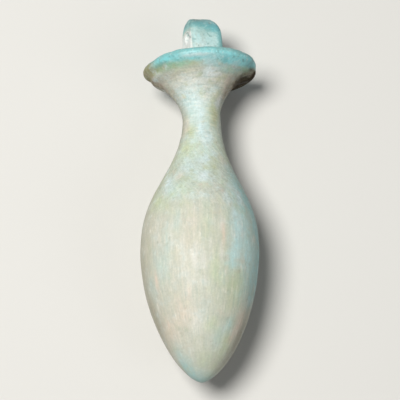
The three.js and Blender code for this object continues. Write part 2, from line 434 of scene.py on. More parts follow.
# the flange: an uneven rim, a few nicks, a brushed top face
on_rim = on_body * bump01(S, 43.2, 43.9, 46.0, 47.0)
relief += on_rim * (
    0.050 * noise(np.stack([cos_t * 5.5, sin_t * 5.5, S * 0.4], 1), 61)
    + 0.022 * noise(np.stack([cos_t * 12, sin_t * 12, S * 0.9], 1), 62)
)
rng = np.random.RandomState(7)
for _ in range(16):
    at, s0 = rng.uniform(-np.pi, np.pi), rng.uniform(43.9, 45.0)
    wide, high, deep = rng.uniform(0.25, 0.7), rng.uniform(0.15, 0.35), rng.uniform(0.05, 0.14)
    d2 = (wrap(TH - at) * 7.9 / wide) ** 2 + ((S - s0) / high) ** 2
    relief -= on_body * deep * np.exp(-d2)
relief += (KIND == 1) * (
    0.035 * fbm(P / 1.6, 71, 3) + 0.010 * noise(P * [2.4, 2.4, 0.4], 72)
)

# the loop: pressed and trimmed by hand, its top rubbed flat and pitted
LXv, LHv, LZv = to_loop(P)
relief += on_loop * (
    0.040 * fbm(P / 1.7 + 5.0, 81, 2)
    + 0.014 * noise(P * 1.9 + 2.0, 82)
    + 0.008 * noise(np.stack([LXv * 0.5, LHv * 3.4, LZv * 0.5], 1), 83)
)
relief -= (KIND >= 3) * 0.07 * np.exp(
    -(((LXv + 0.9) / 0.8) ** 2 + ((LHv - LOOP_H) / 0.5) ** 2)
) * (0.5 + 0.5 * noise(P * 2.2, 84))

# pits left by burst bubbles, grains and knocks
pit_dark = np.zeros(len(P))
pits = []
for _ in range(150):
    s0, at = rng.uniform(1.0, 44.0), rng.uniform(-np.pi, np.pi)
    keep = rng.uniform() < float(bob_radius(np.array([s0]))[0]) / BELLY_R
    size, deep = rng.choice([0.16, 0.2, 0.26, 0.36], p=[0.35, 0.35, 0.2, 0.1]), rng.uniform(0.02, 0.07)
    if keep:
        r0 = float(bob_radius(np.array([s0]))[0])
        c = body_point(np.array([r0]), np.array([s0]), np.array([at]))[0]
        pits.append((c, size, deep))
for _ in range(14):
    al0, h0 = rng.uniform(-np.pi, np.pi), rng.uniform(1.2, 6.6)
    lx, lz = loop_outline(np.array([al0]), np.array([h0]))
    pits.append((from_loop(lx, np.array([h0]), lz)[0], rng.uniform(0.12, 0.22), rng.uniform(0.03, 0.07)))
for _ in range(12):
    a0, r0 = rng.uniform(-np.pi, np.pi), rng.uniform(3.4, 6.9)
    c = from_loop(np.array([r0 * math.cos(a0)]), np.array([0.33]), np.array([r0 * math.sin(a0)]))[0]
    pits.append((c, rng.uniform(0.14, 0.3), rng.uniform(0.03, 0.07)))
for c, size, deep in pits:
    near = np.where(np.abs(P[:, 1] - c[1]) < 3 * size)[0]
    d2 = ((P[near] - c) ** 2).sum(1) / size**2
    relief[near] -= deep * np.exp(-d2 * 1.2)

P = P + normal * relief[:, None]
base.vertices.foreach_set("co", P.astype(np.float32).ravel())
base.update()

# ------------------------------------------------------------------ the perforation, its mouths rubbed wide by the cord
wall = LOOP_W / 2 - (HOLE_H - 1.2) * math.tan(LOOP_DRAFT)
hx = np.concatenate(
    [[-4.0], np.linspace(-wall - 0.2, -wall + 0.5, 12), np.linspace(-wall + 0.6, wall - 0.6, 14), np.linspace(wall - 0.5, wall + 0.2, 12), [4.0]]
)
hn = 64
ha = ring_angles(hn)
hp, hf = [], []
for i, x in enumerate(hx):
    mouth = np.clip((abs(x) - (wall - 0.34)) / 0.34, 0, 1.6)
    r = HOLE_R * (0.95 + 0.03 * np.cos(2 * ha + 0.6)) + 0.13 * mouth**2.2
    r = r + 0.02 * noise(np.stack([np.cos(ha) * 1.6, np.sin(ha) * 1.6, np.full(hn, x * 0.9)], 1), 91)
    hp.append(from_loop(np.full(hn, x), HOLE_H + r * np.cos(ha), HOLE_FRONT + r * np.sin(ha)))
    if i:
        a, b = (i - 1) * hn, i * hn
        hf += [(a + j, a + (j + 1) % hn, b + (j + 1) % hn, b + j) for j in range(hn)]
hf += [tuple(range(hn))[::-1], tuple(range((len(hx) - 1) * hn, len(hx) * hn))]
cutter_mesh = mesh_of("perforation", np.concatenate(hp), hf)
if volume_of(cutter_mesh) < 0:
    cutter_mesh.flip_normals()
    cutter_mesh.update()

amulet = bpy.data.objects.new("plummet_amulet_faience", base)
cutter = bpy.data.objects.new("perforation", cutter_mesh)
for o in (amulet, cutter):
    bpy.context.scene.collection.objects.link(o)
cut = amulet.modifiers.new("perforation", "BOOLEAN")
cut.operation, cut.solver, cut.object = "DIFFERENCE", "EXACT", cutter
bpy.context.view_layer.update()
made = bpy.data.meshes.new_from_object(
    amulet.evaluated_get(bpy.context.evaluated_depsgraph_get())
)
amulet.modifiers.clear()
bpy.data.objects.remove(cutter)
bpy.data.meshes.remove(cutter_mesh)
amulet.data = made
bpy.data.meshes.remove(base)
made.name = "plummet_amulet_faience"

# ------------------------------------------------------------------ where every point lies on the object
co = np.zeros(len(made.vertices) * 3, np.float32)
made.vertices.foreach_get("co", co)
U = co.reshape(-1, 3).astype(float)
nrm = normals_of(made)
s = np.clip(U[:, 1], 0, 52)
for _ in range(6):
    cx, cy = axis_at(s)
    a = lean_at(s)
    s = np.clip(s + (U[:, 0] - cx) * -np.sin(a) + (U[:, 1] - cy) * np.cos(a), 0, 53)
cx, cy = axis_at(s)
a = lean_at(s)
side = (U[:, 0] - cx) * np.cos(a) + (U[:, 1] - cy) * np.sin(a)
theta = np.arctan2(U[:, 2], side)
rad = np.hypot(side, U[:, 2])
lx, lh, lz = to_loop(U)

# Laid down: on belly and rim, with two flat spots where it rests.
REST = math.atan((BELLY_R - RIM_R) / (RIM_S - BELLY_S))
ss = np.linspace(10, 26, 801)
top_z = float((bob_radius(ss) * math.cos(REST) - ss * math.sin(REST)).max())


def lay(p):
    p = np.asarray(p, float)
    return np.stack(
        [
            p[:, 0],
            p[:, 1] * math.cos(REST) + p[:, 2] * math.sin(REST) + cad_lo.y * 1000,
            -p[:, 1] * math.sin(REST) + p[:, 2] * math.cos(REST) + cad_hi.z * 1000 - top_z,
        ],
        1,
    )


W = lay(U)
W[:, 2] = np.maximum(W[:, 2], 0)
made.vertices.foreach_set("co", (W * 0.001).astype(np.float32).ravel())
made.update()


def attribute(name, values, width=1):
    kinds = {1: ("FLOAT", "value"), 3: ("FLOAT_VECTOR", "vector")}
    made_one = made.attributes.new(name, kinds[width][0], "POINT")
    made_one.data.foreach_set(kinds[width][1], np.asarray(values, np.float32).ravel())


turn = turn_of(s)
attribute("around", np.stack([np.cos(theta) * 8, np.sin(theta) * 8, s], 1), 3)
attribute("slanted", np.stack([np.cos(theta - turn) * 8, np.sin(theta - turn) * 8, s], 1), 3)

# ------------------------------------------------------------------ where the glaze is which colour, and where light and shade are painted on it
# Angles run from the right side (0) over the front (90) to the left side (180).
deg = np.degrees(theta)
reach = np.maximum(rad, 0.6)
streaky = fbm(np.stack([np.cos(theta) * 7, np.sin(theta) * 7, s * 0.16], 1), 201, 3)
blotch = fbm(U / 2.6, 211, 3)
grain = fbm(U / 0.7, 221, 2)
slantn = fbm(np.stack([np.cos(theta - turn) * 6, np.sin(theta - turn) * 6, s * 0.45], 1), 231, 3)
loopy = step01((lh - 0.25) / 0.5) * (np.hypot(lx, lz) < 4.5)
bodyish = 1 - loopy
topface = step01((s - (TOP_S - 0.12)) / 0.15) * bodyish


def away(at):
    """Degrees from a direction, 0 to 180."""
    return np.abs((deg - at + 180) % 360 - 180)


def patch(at_s, at_deg, long, wide, power=2.0, ragged=0.35):
    """A patch round a place on the bob: half length along, half width round, in mm."""
    d = np.hypot((s - at_s) / long, np.radians(away(at_deg)) * reach / wide)
    d = d * (1 + ragged * grain + 0.7 * ragged * blotch)
    return np.exp(-(np.abs(d) ** power)) * bodyish


def spot(x, h, z, size_x, size_h, size_z, power=2.0, ragged=0.3):
    """A patch on the loop, in its own frame."""
    d = np.sqrt(((lx - x) / size_x) ** 2 + ((lh - h) / size_h) ** 2 + ((lz - z) / size_z) ** 2)
    return np.exp(-(np.abs(d * (1 + ragged * grain)) ** power)) * loopy


def sector(at_deg, wide):
    """A strip along the object round one direction."""
    return np.exp(-((away(at_deg) / wide) ** 2))


# the flange's rim keeps its turquoise glaze, deeper down on the right, thinning out on the left
band_low = 43.38 - 0.52 * step01((away(100) - 18) / 30) * (away(10) < 110) + 0.2 * step01((away(0) - 95) / 40)
band_low = band_low + 0.55 * sector(6, 20) - 0.16 * sector(108, 14)
band = step01((s - band_low - 0.20 * blotch - 0.14 * grain + 0.15) / 0.62) * bodyish
left_end = np.exp(-((away(172) / 24) ** 4)) * bodyish * step01((s - 42.9) / 0.5) * (
    1 - step01((s - 44.55) / 0.45)
)
under_band = np.exp(-(((s - (band_low - 0.26)) / 0.36) ** 2)) * (s < 44.2)
# painted shade on the unglazed side of the flange's thicker back, over brown dirt, from a line that slants across its
# underside
dark_line = 24 + 4.0 * (s - 43.0)
dark_side = step01((dark_line - deg - 5 * grain - 5 * blotch) / 27) * step01((deg + 104 + 16 * blotch) / 42)

# mask, distance along the bob, direction, half length, half width, strength
PATCHES = [
    # point and lower belly
    ("blue", 1.4, 138, 1.5, 2.0, 0.28),
    ("teal", 0.2, 90, 0.7, 1.6, 0.30),
    ("mint", 3.2, 134, 1.4, 0.9, 0.35),
    ("blue", 1.9, 146, 1.9, 1.0, 0.34),
    ("green", 2.6, 84, 1.0, 1.1, 0.4),
    ("ochre", 2.2, 100, 0.9, 1.9, 0.34),
    ("ochre", 2.4, 58, 0.8, 0.8, 0.3),
    ("ochre", 17.6, 100, 2.0, 2.6, 0.18),
    ("ochre", 22.8, 118, 2.8, 4.0, 0.2),
    ("ochre", 26.5, 122, 2.0, 3.0, 0.24),
    ("ochre", 29.6, 136, 1.6, 1.8, 0.26),
    ("mint", 4.9, 62, 1.3, 0.7, 0.6),
    ("green", 4.6, 46, 1.5, 0.9, 0.7),
    ("green", 6.7, 76, 0.8, 1.1, 0.6),
    ("cream", 7.1, 96, 1.2, 0.9, 0.75),
    ("mint", 6.2, 50, 1.1, 1.2, 0.55),
    ("blue", 7.2, 50, 0.8, 0.5, 0.4),
    ("pink", 6.4, 137, 1.6, 1.8, 0.45),
    ("pink", 8.6, 112, 1.9, 1.4, 0.45),
    ("pink", 7.1, 137, 0.7, 0.3, 0.5),
    ("pink", 7.6, 30, 1.7, 0.8, 0.75),
    ("pink", 5.6, 36, 1.1, 0.6, 0.6),
    ("brown", 4.4, 14, 2.8, 1.4, 0.42),
    ("brown", 8.0, 15, 3.0, 1.1, 0.32),
    ("brown", 9.0, 165, 3.5, 1.0, 0.28),
    ("cream", 9.4, 148, 0.7, 0.3, 0.7),
    # the middle of the belly
    ("pink", 12.9, 140, 1.3, 0.35, 0.85),
    ("pink", 10.7, 102, 0.9, 0.3, 0.5),
    ("cream", 15.4, 95, 2.0, 0.55, 0.9),
    ("cream", 14.6, 86, 1.4, 0.35, 0.8),
    ("cream", 12.0, 102, 2.0, 0.35, 0.6),
    ("cream", 16.8, 106, 2.6, 0.4, 0.4),
    ("green", 13.9, 74, 2.2, 0.9, 0.65),
    ("green", 12.3, 52, 2.8, 1.7, 0.58),
    ("olive", 11.6, 56, 2.0, 0.9, 0.12),
    ("mint", 14.6, 132, 2.2, 1.6, 0.5),
    ("mint", 12.0, 150, 1.6, 1.0, 0.4),
    ("pink", 18.7, 67, 1.7, 0.34, 0.9),
    ("cream", 16.4, 69, 1.8, 0.28, 0.8),
    ("cream", 20.2, 68, 1.0, 0.3, 0.6),
    ("pale_blue", 18.9, 47, 3.4, 1.7, 0.62),
    ("blue", 20.4, 44, 1.8, 1.1, 0.32),
    ("sky", 17.6, 52, 2.6, 1.0, 0.5),
    ("pale_blue", 15.6, 57, 1.8, 0.6, 0.55),
    ("pale_blue", 16.4, 34, 3.0, 0.9, 0.6),
    ("sky", 22.0, 54, 1.2, 0.6, 0.5),
    # painted shade: a duller beige where the light's highlight falls on the belly
    ("beige", 18.6, 97, 3.6, 2.6, 0.50),
    ("green", 19.4, 84, 2.4, 1.0, 0.40),
    ("mint", 17.4, 122, 2.6, 0.6, 0.45),
    ("mint", 20.6, 112, 2.0, 0.5, 0.45),
    ("pink", 20.4, 96, 1.6, 0.5, 0.22),
    ("cream", 19.2, 134, 2.4, 0.35, 0.5),
    ("cream", 18.2, 118, 2.0, 0.3, 0.45),
    ("cream", 17.0, 80, 1.8, 0.25, 0.5),
    # shoulder
    ("pink", 19.0, 45, 0.8, 0.32, 0.95),
    ("cream", 19.6, 47, 0.7, 0.22, 0.7),
    ("sky", 24.2, 56, 0.9, 0.8, 0.55),
    ("sky", 24.6, 42, 1.4, 0.8, 0.65),
    ("sky", 27.0, 85, 0.75, 0.75, 0.9),
    ("sky", 26.7, 137, 0.9, 0.7, 0.8),
    ("sky", 28.5, 112, 1.6, 0.9, 0.35),
    ("mint", 27.8, 116, 2.8, 3.4, 0.55),
    ("sky", 29.6, 76, 1.0, 0.7, 0.55),
    ("sky", 27.6, 66, 0.8, 0.8, 0.45),
    ("sky", 30.6, 88, 1.2, 0.9, 0.35),
    ("mint", 25.2, 122, 1.8, 2.6, 0.45),
    ("pink", 27.4, 120, 0.7, 0.7, 0.55),
    ("brown", 25.3, 63, 0.5, 0.55, 0.30),
    ("pink", 25.0, 64, 0.35, 0.3, 0.5),
    ("white", 27.05, 85, 0.7, 0.65, 0.40),
    ("white", 26.7, 137, 0.8, 0.5, 0.25),
    ("green", 28.6, 71, 0.9, 0.9, 0.9),
    ("olive", 28.7, 70, 0.6, 0.6, 0.3),
    ("green", 25.4, 112, 0.8, 0.8, 0.5),
    ("green", 23.9, 140, 1.3, 1.6, 0.45),
    ("olive", 24.2, 46, 0.6, 0.35, 0.3),
    ("green", 26.4, 60, 1.0, 0.6, 0.5),
    ("cream", 20.6, 96, 1.8, 0.8, 0.35),
    # neck
    ("sky", 36.6, 91, 2.0, 0.85, 0.60),
    ("sky", 33.4, 72, 1.3, 0.8, 0.7),
    ("sky", 34.8, 92, 0.9, 0.6, 0.45),
    ("sky", 31.0, 62, 0.8, 0.5, 0.4),
    ("green", 36.9, 48, 1.5, 1.1, 0.95),
    ("olive", 37.0, 47, 1.0, 0.8, 0.42),
    ("olive", 35.6, 50, 0.9, 0.5, 0.25),
    ("green", 34.5, 122, 1.0, 0.8, 0.9),
    ("olive", 34.4, 124, 0.7, 0.5, 0.3),
    ("pink", 35.5, 142, 1.3, 0.7, 0.6),
    ("green", 31.9, 128, 1.0, 1.1, 0.7),
    ("pink", 30.3, 46, 1.4, 0.6, 0.35),
    # under the flange
    ("sky", 38.7, 116, 1.0, 1.3, 0.45),
    ("sky", 40.2, 84, 0.6, 0.8, 0.6),
    ("sky", 40.1, 128, 0.8, 1.2, 0.45),
    ("cream", 40.9, 112, 0.9, 2.4, 0.5),
    ("cream", 41.7, 92, 0.6, 2.0, 0.4),
    ("sky", 42.05, 70, 0.5, 0.9, 1.0),
    ("cream", 41.4, 56, 0.9, 1.6, 0.75),
    ("cream", 41.9, 128, 0.6, 1.6, 0.7),
    ("sky", 41.3, 110, 0.5, 1.0, 0.5),
    ("cream", 39.4, 68, 0.9, 1.2, 0.55),
    ("sky", 38.8, 36, 0.8, 0.5, 0.9),
    ("sky", 39.6, 24, 0.6, 0.4, 0.6),
    ("cream", 43.0, 148, 0.3, 0.6, 0.7),
    ("cream", 42.3, 160, 0.4, 0.6, 0.5),
    ("green", 39.6, 47, 1.1, 0.9, 0.8),
    ("green", 38.3, 42, 0.9, 0.9, 0.8),
    ("olive", 38.9, 40, 1.6, 0.6, 0.35),
    ("olive", 42.3, 128, 0.3, 1.6, 0.25),
    ("olive", 42.6, 100, 0.3, 2.2, 0.08),
    ("pink", 40.2, 26, 1.0, 0.9, 0.6),
    ("brown", 40.7, 20, 1.1, 0.8, 0.36),
    ("brown", 41.7, 26, 0.6, 0.8, 0.22),
    ("brown", 39.8, 12, 0.9, 0.6, 0.4),
    ("ochre", 42.2, 140, 0.5, 1.6, 0.45),
    ("ochre", 41.6, 118, 0.4, 1.2, 0.35),
    ("ochre", 42.4, 92, 0.3, 1.6, 0.12),
    ("ochre", 41.2, 160, 0.8, 0.8, 0.4),
    ("olive", 41.0, 62, 0.8, 0.9, 0.14),
    ("pink", 41.6, 33, 0.7, 1.0, 0.5),
    ("brown", 42.5, 18, 0.5, 1.2, 0.32),
    ("brown", 40.9, 8, 0.9, 1.2, 0.45),
    ("brown", 43.1, 181, 0.8, 2.2, 0.95),
    ("pink", 42.1, 178, 0.7, 1.4, 0.7),
    ("brown", 41.9, 184, 0.8, 1.3, 0.55),
    ("brown", 40.9, 186, 0.9, 1.0, 0.35),
    # painted shade: umber low on the flange's left end
    ("umber", 43.5, 190, 0.5, 1.4, 0.42),
    ("sky", 42.1, 68, 0.45, 0.9, 0.35),
    ("sky", 42.0, 84, 0.5, 1.0, 0.25),
    # the rim
    ("deep", 43.35, 60, 0.28, 0.5, 0.8),
    ("deep", 43.9, 28, 0.4, 0.8, 0.5),
    ("deep", 44.0, 128, 0.5, 1.8, 0.4),
    # painted light: paler, brighter glaze on the underside of the rim's roll, which faces away from the light
    ("pale_blue", 43.45, 74, 0.45, 1.3, 0.95),
    ("pale_blue", 43.35, 43, 0.3, 1.0, 0.5),
    ("pale_blue", 44.0, 62, 0.24, 0.8, 0.3),
    ("cyan", 43.8, 48, 0.35, 1.6, 1.0),
    # painted shade: darker teal, brown and umber at the right end of the rim
    ("teal", 43.85, 20, 0.4, 0.9, 0.8),
    ("brown", 43.1, 17, 0.35, 0.8, 0.5),
    ("umber", 43.55, 8, 0.3, 0.6, 0.4),
    # more painted light on the underside of the rim's roll
    ("sky", 43.45, 66, 0.35, 0.8, 0.55),
    ("sky", 43.4, 46, 0.26, 0.6, 0.2),
    ("pale_blue", 43.55, 30, 0.3, 0.7, 0.15),
    # painted highlight: a pale band low on the front of the rim's roll
    ("pale_blue", 43.9, 96, 0.2, 1.5, 0.9),
    ("white", 43.97, 98, 0.15, 1.0, 0.42),
    ("white", 43.88, 87, 0.13, 0.8, 0.25),
    # painted shade: deeper teal at the top of the rim's roll, dimming its highlight
    ("teal", 44.35, 112, 0.3, 1.5, 0.42),
    # painted light: the next white patch lightens the shaded underside of the flange
    ("white", 42.1, 67, 0.45, 0.8, 0.55),
    ("white", 39.2, 33, 1.0, 0.45, 0.5),
    ("white", 38.0, 96, 1.4, 0.6, 0.2),
    ("cream", 44.5, 55, 0.16, 0.5, 0.6),
    ("cream", 44.6, 130, 0.14, 0.7, 0.5),
    ("cream", 44.5, -70, 0.2, 1.6, 0.7),
    ("cream", 44.4, -140, 0.2, 1.8, 0.7),
    ("leaf", 43.22, 112, 0.26, 1.8, 0.8),
    ("leaf", 43.45, 130, 0.34, 1.4, 0.7),
    ("olive", 43.1, 128, 0.3, 1.5, 0.34),
    ("olive", 43.42, 143, 0.34, 1.1, 0.4),
    ("leaf", 43.75, 143, 0.3, 0.9, 0.7),
    ("leaf", 42.65, 45, 0.3, 1.8, 0.6),
    ("leaf", 43.2, 20, 0.3, 1.3, 0.8),
]
NAMES = (
    "beige ochre mint green blue sky cream pink brown turquoise cyan pale_blue leaf teal deep olive umber white stain pit"
).split()
masks = {name: np.zeros(len(U)) for name in NAMES}
for name, at_s, at_deg, long, wide, strength in PATCHES:
    masks[name] += strength * patch(at_s, at_deg, long, wide)

masks["beige"] += (
    (1 - step01((s - 20) / 6)) * (0.45 + 0.35 * streaky) * (0.5 + 0.5 * step01((away(30) - 45) / 50))
    + 0.75 * sector(174, 30) * (s < 41) * (0.85 + 0.4 * blotch)
    + 0.22 * step01((s - 40.2) / 2.2) * (0.8 + 0.8 * blotch)
)
masks["ochre"] += 0.8 * sector(165, 17 + 6 * step01((s - 20) / 6)) * bump01(s, 3, 7, 35, 38.5) * (0.9 + 0.5 * blotch)
masks["mint"] += (
    bump01(s, 28.0, 34.0, 39.0, 42.0) * (0.60 + 0.7 * slantn) * (0.45 + 0.55 * step01((80 - away(92)) / 45))
    + 0.35 * np.clip(slantn + 0.1, 0, 1) * bump01(s, 19, 24, 31, 35)
    + 0.45 * bump01(s, 36, 38.5, 41.0, 42.5) * sector(105, 40)
)
masks["green"] += (
    0.50 * np.clip(blotch + 0.25 + 0.5 * slantn, 0, 1) * bump01(s, 17, 24, 33, 36)
    + 0.30 * (1 - step01((s - 18) / 8)) * sector(48, 22) * (0.8 + 0.6 * blotch)
    + 0.15 * under_band * step01((deg - 80) / 22) * (deg < 158)
)
masks["leaf"] += 0.62 * under_band * step01((deg - 84) / 44) * (deg < 160)
masks["blue"] += (
    np.exp(-((away(3) / (29 + 9 * blotch + 5 * streaky)) ** 3))
    * bump01(s + 2.2 * blotch + 1.6 * streaky, 7.5, 12.5, 24.5, 33)
    * (0.95 + 0.35 * blotch + 0.35 * streaky)
    + 0.55 * sector(38, 15) * bump01(s, 20, 24.5, 27, 31) * (0.7 + 0.8 * slantn)
    + 0.30 * (1 - step01((s - 0.3) / 1.5)) * (0.8 + 0.5 * blotch)
    + 0.65 * under_band * (away(50) < 42) * step01((44 - away(50)) / 16)
)
masks["cream"] += 0.35 * np.clip(streaky - 0.1, 0, 1) * (1 - step01((s - 22) / 6))
masks["brown"] += (
    0.30 * bump01(s, 31, 35, 39, 42) * sector(165, 22)
    + 0.45 * np.clip(blotch - 0.15, 0, 1) * sector(-90, 60)
    # the brown edge of the dark side's painted shade, on brown dirt
    + 0.85 * dark_side * bump01(s + 0.7 * blotch, 38.9, 41.0, 43.55, 44.0)
)
dark_top = s + 0.3 * blotch + 0.12 * grain - 0.5 * step01((5 - deg) / 16)
# near-black umber over the dark side: painted shade on brown dirt
masks["umber"] += (
    dark_side * step01((s + 0.35 * blotch - 40.4) / 1.5) * (1 - step01((dark_top - 43.35) / 0.5)) * (1.0 + 0.3 * blotch)
)
masks["olive"] += 1.0 * left_end * (0.85 + 0.3 * blotch)
turquoise = band * (1 - left_end)
turquoise = np.maximum(turquoise, 0.9 * topface * step01((blotch + 0.5 * grain + 0.50) / 0.55))
loop_high = step01((lh + 0.40 * blotch + 0.45 * (lx / 2.4) - 3.1) / 1.9)
left_face = step01((-lx - (LOOP_W / 2 - 0.30)) / 0.12) * loopy
turquoise = np.maximum(turquoise, loopy * loop_high * (1 - left_face) * 0.92)
turquoise = np.maximum(turquoise, 0.9 * loopy * (1 - left_face) * step01((lx - 0.95) / 0.8))
masks["turquoise"] += turquoise
# a brighter cyan over the rim's band: glaze colour, lifted with painted light where the band turns down and away from
# the light
masks["cyan"] += band * (1 - left_end) * bump01(s, 42.9, 43.3, 44.1, 44.5) * (0.8 + 0.5 * blotch) * step01((deg + 5) / 25)
masks["pale_blue"] += (
    # painted highlight along the front of the rim's roll; the rest of this mask is pale glaze
    band * sector(95, 20) * np.exp(-(((s - 43.97) / 0.26) ** 2)) * (0.7 + 0.5 * grain)
    + 0.22 * band * np.clip(blotch, 0, 1)
    + loopy * (1 - loop_high) * (1 - left_face) * 0.85 * (1 - 0.7 * step01((lx - 1.1) / 0.8))
)
masks["teal"] += (
    loopy * (1 - 0.6 * left_face) * step01((lh + 0.35 * grain + 0.15 * lx - 4.3) / 1.5) * (0.95 + 0.3 * blotch)
    + 0.75 * loopy * step01((lx + 0.25 * grain - 1.1) / 1.0) * (1 - 0.4 * loop_high) * step01((lh - 0.9) / 1.2)
    + 0.30 * spot(-0.4, 4.4, 2.0, 1.7, 0.9, 1.6)
    # painted shade: deeper teal along the rim's top edge, most away from the front, and over the top at the front to
    # dim its highlight
    + 0.55 * band * bump01(s, 44.3, 44.7, 45.2, 45.6) * np.clip(0.6 + blotch, 0, 1) * step01((away(95) - 30) / 40)
    + 0.34 * band * bump01(s, 44.05, 44.4, 45.2, 45.6) * step01((105 - away(90)) / 50) * (1 + 0.6 * blotch)
)
masks["deep"] += (
    0.30 * band * np.clip(-blotch - 0.05, 0, 1)
    + 0.25 * band * np.clip(away(85) / 60 - 0.75, 0, 1)
    + 0.9 * spot(1.35, 5.1, 2.0, 1.0, 0.9, 1.6)
    + 0.5 * spot(-0.2, 5.7, 1.4, 1.6, 0.5, 1.2)
)
in_hole = (np.hypot(lh - HOLE_H, lz - HOLE_FRONT) < HOLE_R * 1.16) * (np.abs(lx) < LOOP_W / 2 + 0.1) * loopy
masks["white"] += (
    left_face * (1 - 0.95 * step01((lh - 4.3) / 0.9)) * (0.9 + 0.25 * blotch)
    # painted light: a pale spot low on the loop's front, over the shade where it meets the flange
    + 0.45 * spot(-1.1, 1.7, 2.1, 1.0, 1.2, 1.0)
    # painted light: the inside of the hole is painted white so that it reads as lit
    + 0.9 * in_hole
)
# the shadow under the hole's upper lip, painted on its wall
hole_shadow = np.hypot((lh - 4.3 + 0.53 * (lz - 0.2)) / 0.17, np.maximum(0, np.abs(lz - 1.05) - 0.75) / 0.2)
masks["stain"] += (
    0.85 * spot(-0.9, LOOP_H, 0.9, 0.75, 0.5, 0.7, ragged=0.8)
    + 0.95 * spot(0.75, 5.75, 1.55, 0.2, 0.24, 0.7)
    # painted shade along the loop's left front corner
    + 0.32 * np.exp(-(((lx + LOOP_W / 2 - 0.40) / 0.16) ** 2)) * loopy * (lz > 1.2) * (1 + grain)
    # painted shadow under the hole's upper lip
    + 0.8 * np.exp(-(hole_shadow**2) * (1 + 0.8 * grain)) * left_face
    + 0.30 * np.clip(grain * 1.6 - 0.9, 0, 1) * (turquoise > 0.3)
)
# pits darkened: dirt in them, and painted shade in each hollow
holes = np.zeros(len(U))
for c, size, deep in pits:
    near = np.where(np.abs(U[:, 1] - c[1]) < 2 * size)[0]
    d2 = ((U[near] - c) ** 2).sum(1) / (0.75 * size) ** 2
    holes[near] = np.maximum(holes[near], np.exp(-d2 * 1.5) * min(1, deep / 0.05))
masks["pit"] += 0.55 * holes * (grain > -0.3)
for name, values in masks.items():
    on_loop_too = name in ("turquoise", "pale_blue", "teal", "deep", "white", "stain", "pit")
    attribute(name, np.clip(values * (1 if on_loop_too else bodyish), 0, 1))
attribute("w_belly", (1 - step01((s - 20) / 8)) * (0.2 + 0.8 * step01((s - 1.0) / 5)) * bodyish)
attribute("w_slant", bump01(s, 19, 25, 32, 37) * bodyish * (0.5 + 0.5 * sector(45, 50)))
# 0 under the dark side's painted shade, so it gets no glaze flecks or neck streaks
unshaded = 1 - 0.85 * np.clip(masks["umber"], 0, 1)
attribute("w_neck", np.maximum(bump01(s, 30, 35, 42.4, 43.6), 0.5 * loopy) * unshaded)
worn = 0.40 + 0.58 * step01((s - 20) / 7) - 0.52 * bump01(s, 32.5, 34.5, 37.5, 39.5)
worn = worn * (1 - 0.72 * band * (1 - left_end)) * (1 - 0.9 * np.clip(masks["umber"], 0, 1)) * (1 - 0.75 * loopy)
attribute("w_worn", np.clip(worn, 0, 1))
attribute("w_glaze", np.clip(band * (1 - left_end) + 0.9 * loopy * (1 - 0.7 * left_face), 0, 1) * unshaded)
attribute("place", U, 3)

made.polygons.foreach_set("use_smooth", np.ones(len(made.polygons), bool))
made.set_sharp_from_angle(angle=math.radians(50))

# ------------------------------------------------------------------ material
def lin(r, g, b):
    return tuple(
        (c / 12.92 if c <= 0.04045 else ((c + 0.055) / 1.055) ** 2.4)
        for c in (r / 255, g / 255, b / 255)
    ) + (1.0,)


mat = bpy.data.materials.new("faience_glaze")
mat.use_nodes = True
nt = mat.node_tree
bsdf = nt.nodes["Principled BSDF"]


def node(kind, **settings):
    n = nt.nodes.new(kind)
    for key, value in settings.items():
        setattr(n, key, value)
    return n


def link(a, b):
    nt.links.new(a, b)


def read(name, out="Fac"):
    return node("ShaderNodeAttribute", attribute_name=name).outputs[out]


def maths(op, a, b=None, c=None, clamp=False):
    n = node("ShaderNodeMath", operation=op, use_clamp=clamp)
    for k, v in enumerate((a, b, c)):
        if v is None:
            continue
        if isinstance(v, (int, float)):
            n.inputs[k].default_value = v
        else:
            link(v, n.inputs[k])
    return n.outputs[0]


def blend(fac, a, b, kind="MIX"):
    n = node("ShaderNodeMix", data_type="RGBA", blend_type=kind)
    for socket, v in ((n.inputs[0], fac), (n.inputs[6], a), (n.inputs[7], b)):
        if isinstance(v, (int, float, tuple)):
            socket.default_value = v
        else:
            link(v, socket)
    return n.outputs[2]


def stretched(vector, scale, detail, rough, stretch, shift=0.0):
    """Noise drawn out along the bob: stretch below 1 makes streaks that run its length."""
    m = node("ShaderNodeVectorMath", operation="MULTIPLY_ADD")
    link(vector, m.inputs[0])
    m.inputs[1].default_value = (scale, scale, scale * stretch)
    m.inputs[2].default_value = (shift, 2 * shift, 3 * shift)
    n = node("ShaderNodeTexNoise")
    n.inputs["Scale"].default_value = 1.0
    n.inputs["Detail"].default_value = detail
    n.inputs["Roughness"].default_value = rough
    link(m.outputs[0], n.inputs["Vector"])
    return n.outputs["Fac"]


def signed(v, gain):
    return maths("MULTIPLY", maths("SUBTRACT", v, 0.5), gain)


def above(v, low, high):
    """0 below low, 1 above high."""
    n = node("ShaderNodeMapRange")
    link(v, n.inputs[0])
    n.inputs[1].default_value, n.inputs[2].default_value = low, high
    return n.outputs[0]


